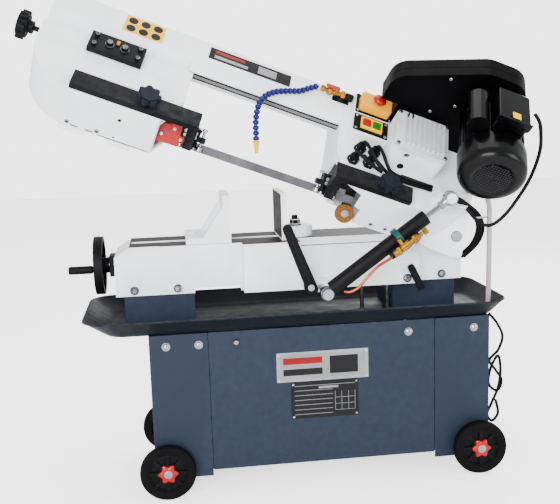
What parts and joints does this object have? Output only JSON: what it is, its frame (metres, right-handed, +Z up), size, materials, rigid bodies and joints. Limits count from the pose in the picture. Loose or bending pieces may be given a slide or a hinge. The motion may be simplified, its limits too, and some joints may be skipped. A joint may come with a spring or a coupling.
{
  "type": "horizontal band saw",
  "caption": "Horizontal metal-cutting band saw on a wheeled cabinet: pivoting saw arm, tilted blade wheels, motor and gearbox, screw vise, feed cylinder and chip tray.",
  "frame": {"origin": "on the floor, under the middle of the cabinet", "axes": "+X along the bed towards the arm's pivot and motor, +Y away from the operator, +Z up"},
  "size_m": [1.1948, 0.4862, 1.204],
  "materials": {
    "stand_paint": "satin",
    "cast_white": "satin",
    "black_metal": "satin",
    "gloss_black": "gloss",
    "wheel_rubber": "matte",
    "steel": "brushed",
    "iron": "machined",
    "brass": "satin",
    "black_plastic": "matte",
    "red_plastic": "gloss",
    "green_plastic": "gloss",
    "orange_plastic": "gloss",
    "blue_plastic": "gloss",
    "cast_aluminium": "cast",
    "belt_rubber": "matte",
    "bristle": "matte"
  },
  "bodies": {
    "stand": {"left_leg": "stand_paint", "right_leg": "stand_paint", "cabinet_panels": "stand_paint", "chip_tray": "stand_paint", "bed_risers": "stand_paint", "bed_casting": "cast_white", "coolant_tank": "steel", "wheel_axles": "steel", "stand_bolts": "steel", "pivot_shaft": "steel", "cylinder_foot": "steel", "screw_bearing": "black_metal"},
    "front_left_wheel": {"wheel_front_left": "wheel_rubber"},
    "front_right_wheel": {"wheel_front_right": "wheel_rubber"},
    "rear_left_wheel": {"wheel_rear_left": "wheel_rubber"},
    "rear_right_wheel": {"wheel_rear_right": "wheel_rubber"},
    "vise_screw": {"lead_screw": "steel", "vise_handwheel": "black_plastic"},
    "handle": {"crank_handle": "black_plastic"},
    "sliding_jaw": {"moving_jaw": "cast_white"},
    "turning_jaw": {"fixed_jaw": "cast_white"},
    "stop_bar": {"stop_rod": "steel"},
    "stop_finger": {"stop_arm": "black_metal"},
    "lock_bar": {"transport_bar": "black_metal"},
    "barrel": {"cylinder_barrel": "black_metal"},
    "rod": {"piston_rod": "steel"},
    "flow_knob": {"flow_valve_knob": "brass"},
    "arm": {"bow_casting": "cast_white", "gearbox_housing": "cast_white", "gearbox_cover": "cast_aluminium", "motor_body": "gloss_black", "fan_cover": "gloss_black", "belt_box": "gloss_black", "junction_box": "gloss_black", "control_box": "cast_white", "coolant_valve": "brass", "coolant_hose": "blue_plastic", "saw_blade": "steel", "v_belt": "belt_rubber", "right_wheel_cover": "cast_white"},
    "left_cover": {"left_wheel_cover": "cast_white"},
    "tension_block": {"tension_slide": "black_metal"},
    "tension_handle": {"tension_knob": "black_plastic"},
    "idler": {"idle_wheel": "iron"},
    "driver": {"drive_wheel": "iron", "worm_wheel": "brass"},
    "worm": {"worm_shaft": "steel"},
    "rotor": {"motor_rotor": "steel"},
    "belt_cover": {"belt_lid": "gloss_black"},
    "left_guide": {"left_guide_arm": "black_metal", "blade_guard": "red_plastic"},
    "left_knob": {"left_clamp_knob": "black_plastic"},
    "right_guide": {"right_guide_arm": "black_metal"},
    "right_knob": {"right_clamp_knob": "black_plastic"},
    "brush": {"chip_brush": "bristle"},
    "estop_flap": {"estop_cover": "orange_plastic"},
    "estop": {"estop_button": "red_plastic"},
    "start": {"start_button": "green_plastic"},
    "stop": {"stop_button": "red_plastic"},
    "valve_lever": {"coolant_lever": "red_plastic"}
  },
  "joints": [
    {"name": "front_left_wheel_spin", "type": "hinge", "parent": "stand", "child": "front_left_wheel", "pos_m": [-0.387, -0.156, 0.067], "axis": [0, 1, 0], "continuous": true},
    {"name": "front_right_wheel_spin", "type": "hinge", "parent": "stand", "child": "front_right_wheel", "pos_m": [0.387, -0.156, 0.067], "axis": [0, 1, 0], "continuous": true},
    {"name": "rear_left_wheel_spin", "type": "hinge", "parent": "stand", "child": "rear_left_wheel", "pos_m": [-0.387, 0.156, 0.067], "axis": [0, 1, 0], "continuous": true},
    {"name": "rear_right_wheel_spin", "type": "hinge", "parent": "stand", "child": "rear_right_wheel", "pos_m": [0.387, 0.156, 0.067], "axis": [0, 1, 0], "continuous": true},
    {"name": "handwheel_turn", "type": "hinge", "parent": "stand", "child": "vise_screw", "pos_m": [-0.522, 0.055, 0.541], "axis": [1, 0, 0], "range_deg": [-5850, 10800]},
    {"name": "jaw_slide", "type": "slide", "parent": "stand", "child": "sliding_jaw", "axis": [1, 0, 0], "range_m": [-0.065, 0.12]},
    {"name": "crank_handle_spin", "type": "hinge", "parent": "vise_screw", "child": "handle", "pos_m": [-0.562, -0.003, 0.541], "axis": [1, 0, 0], "continuous": true},
    {"name": "fixed_jaw_swivel", "type": "hinge", "parent": "stand", "child": "turning_jaw", "pos_m": [-0.034, 0.055, 0.594], "axis": [0, 0, 1], "range_deg": [-45, 0]},
    {"name": "stop_rod_slide", "type": "slide", "parent": "stand", "child": "stop_bar", "axis": [0, 1, 0], "range_m": [-0.02, 0]},
    {"name": "stop_arm_swing", "type": "hinge", "parent": "stop_bar", "child": "stop_finger", "pos_m": [-0.026, -0.115, 0.492], "axis": [0, 1, 0], "range_deg": [-60, 15]},
    {"name": "transport_bar_swing", "type": "hinge", "parent": "stand", "child": "lock_bar", "pos_m": [0.237, -0.066, 0.516], "axis": [0, 1, 0], "range_deg": [0, 90]},
    {"name": "arm_pivot", "type": "hinge", "parent": "stand", "child": "arm", "pos_m": [0.35, -0.075, 0.59], "axis": [0, 1, 0], "range_deg": [-19.5, 20]},
    {"name": "cylinder_foot_swing", "type": "hinge", "parent": "stand", "child": "barrel", "pos_m": [0.004, -0.172, 0.486], "axis": [0, 1, 0], "range_deg": [-1.37, 1.4]},
    {"name": "rod_eye_swing", "type": "hinge", "parent": "arm", "child": "rod", "pos_m": [0.304, -0.172, 0.696], "axis": [0, 1, 0], "range_deg": [-19.3, 18.83]},
    {"name": "flow_valve_turn", "type": "hinge", "parent": "barrel", "child": "flow_knob", "pos_m": [0.20979, -0.199, 0.61052], "axis": [0.8192, 0, 0.5735], "range_deg": [0, 270]},
    {"name": "left_cover_hinge", "type": "hinge", "parent": "arm", "child": "left_cover", "pos_m": [-0.54939, -0.06924, 0.87607], "axis": [-0.933, 0, 0.36], "range_deg": [0, 90]},
    {"name": "tension_knob_turn", "type": "hinge", "parent": "arm", "child": "tension_handle", "pos_m": [-0.62038, -0.03257, 1.10875], "axis": [0.933, 0, -0.36], "range_deg": [0, 2050]},
    {"name": "tension_slide", "type": "slide", "parent": "arm", "child": "tension_block", "axis": [0.933, 0, -0.36], "range_m": [0, 0.01]},
    {"name": "idle_wheel_spin", "type": "hinge", "parent": "tension_block", "child": "idler", "pos_m": [-0.49784, 0.01243, 1.00966], "axis": [0.2546, -0.7071, 0.6597], "continuous": true},
    {"name": "drive_wheel_spin", "type": "hinge", "parent": "arm", "child": "driver", "pos_m": [0.24254, 0.01243, 0.72397], "axis": [0.2546, -0.7071, 0.6597], "continuous": true},
    {"name": "worm_spin", "type": "hinge", "parent": "arm", "child": "worm", "pos_m": [0.22827, -0.07712, 0.82448], "axis": [0.2546, 0.7071, 0.6597], "continuous": true},
    {"name": "motor_spin", "type": "hinge", "parent": "arm", "child": "rotor", "pos_m": [0.40363, -0.17046, 0.822], "axis": [0.2546, 0.7071, 0.6597], "continuous": true},
    {"name": "belt_lid_hinge", "type": "hinge", "parent": "arm", "child": "belt_cover", "pos_m": [0.31237, 0.0544, 0.86328], "axis": [-0.933, 0, 0.36], "range_deg": [0, 90]},
    {"name": "left_guide_slide", "type": "slide", "parent": "arm", "child": "left_guide", "axis": [0.933, 0, -0.36], "range_m": [0, 0.12]},
    {"name": "left_clamp_turn", "type": "hinge", "parent": "arm", "child": "left_knob", "pos_m": [-0.38432, -0.1542, 0.94945], "axis": [0.2546, -0.7071, 0.6597], "range_deg": [0, 180]},
    {"name": "right_guide_slide", "type": "slide", "parent": "arm", "child": "right_guide", "axis": [0.933, 0, -0.36], "range_m": [-0.03, 0]},
    {"name": "right_clamp_turn", "type": "hinge", "parent": "arm", "child": "right_knob", "pos_m": [0.16298, -0.15773, 0.73447], "axis": [0.2546, -0.7071, 0.6597], "range_deg": [0, 180]},
    {"name": "brush_spin", "type": "hinge", "parent": "right_guide", "child": "brush", "pos_m": [0.06878, -0.076, 0.65979], "axis": [0, 1, 0], "continuous": true},
    {"name": "estop_cover_flip", "type": "hinge", "parent": "arm", "child": "estop_flap", "pos_m": [0.17438, 0.02965, 0.92789], "axis": [-0.933, 0, 0.36], "range_deg": [0, 100]},
    {"name": "estop_press", "type": "slide", "parent": "estop_flap", "child": "estop", "axis": [-0.2546, 0.7071, -0.6597], "range_m": [0, 0.005]},
    {"name": "start_press", "type": "slide", "parent": "arm", "child": "start", "axis": [-0.2546, 0.7071, -0.6597], "range_m": [0, 0.004]},
    {"name": "stop_press", "type": "slide", "parent": "arm", "child": "stop", "axis": [-0.2546, 0.7071, -0.6597], "range_m": [0, 0.004]},
    {"name": "coolant_lever_turn", "type": "hinge", "parent": "arm", "child": "valve_lever", "pos_m": [0.07777, 0.03177, 0.95531], "axis": [0.2546, -0.7071, 0.6597], "range_deg": [0, 90]}
  ],
  "couplings": [
    {"joint": "jaw_slide", "follows": "handwheel_turn", "m_per_rad": 0.00063662},
    {"joint": "cylinder_foot_swing", "follows": "arm_pivot", "ratio": 0.06},
    {"joint": "rod_eye_swing", "follows": "arm_pivot", "ratio": -0.94},
    {"joint": "tension_slide", "follows": "tension_knob_turn", "m_per_rad": 0.00027852},
    {"joint": "worm_spin", "follows": "motor_spin", "ratio": 0.68421},
    {"joint": "drive_wheel_spin", "follows": "motor_spin", "ratio": 0.022807},
    {"joint": "idle_wheel_spin", "follows": "motor_spin", "ratio": 0.022807}
  ]
}
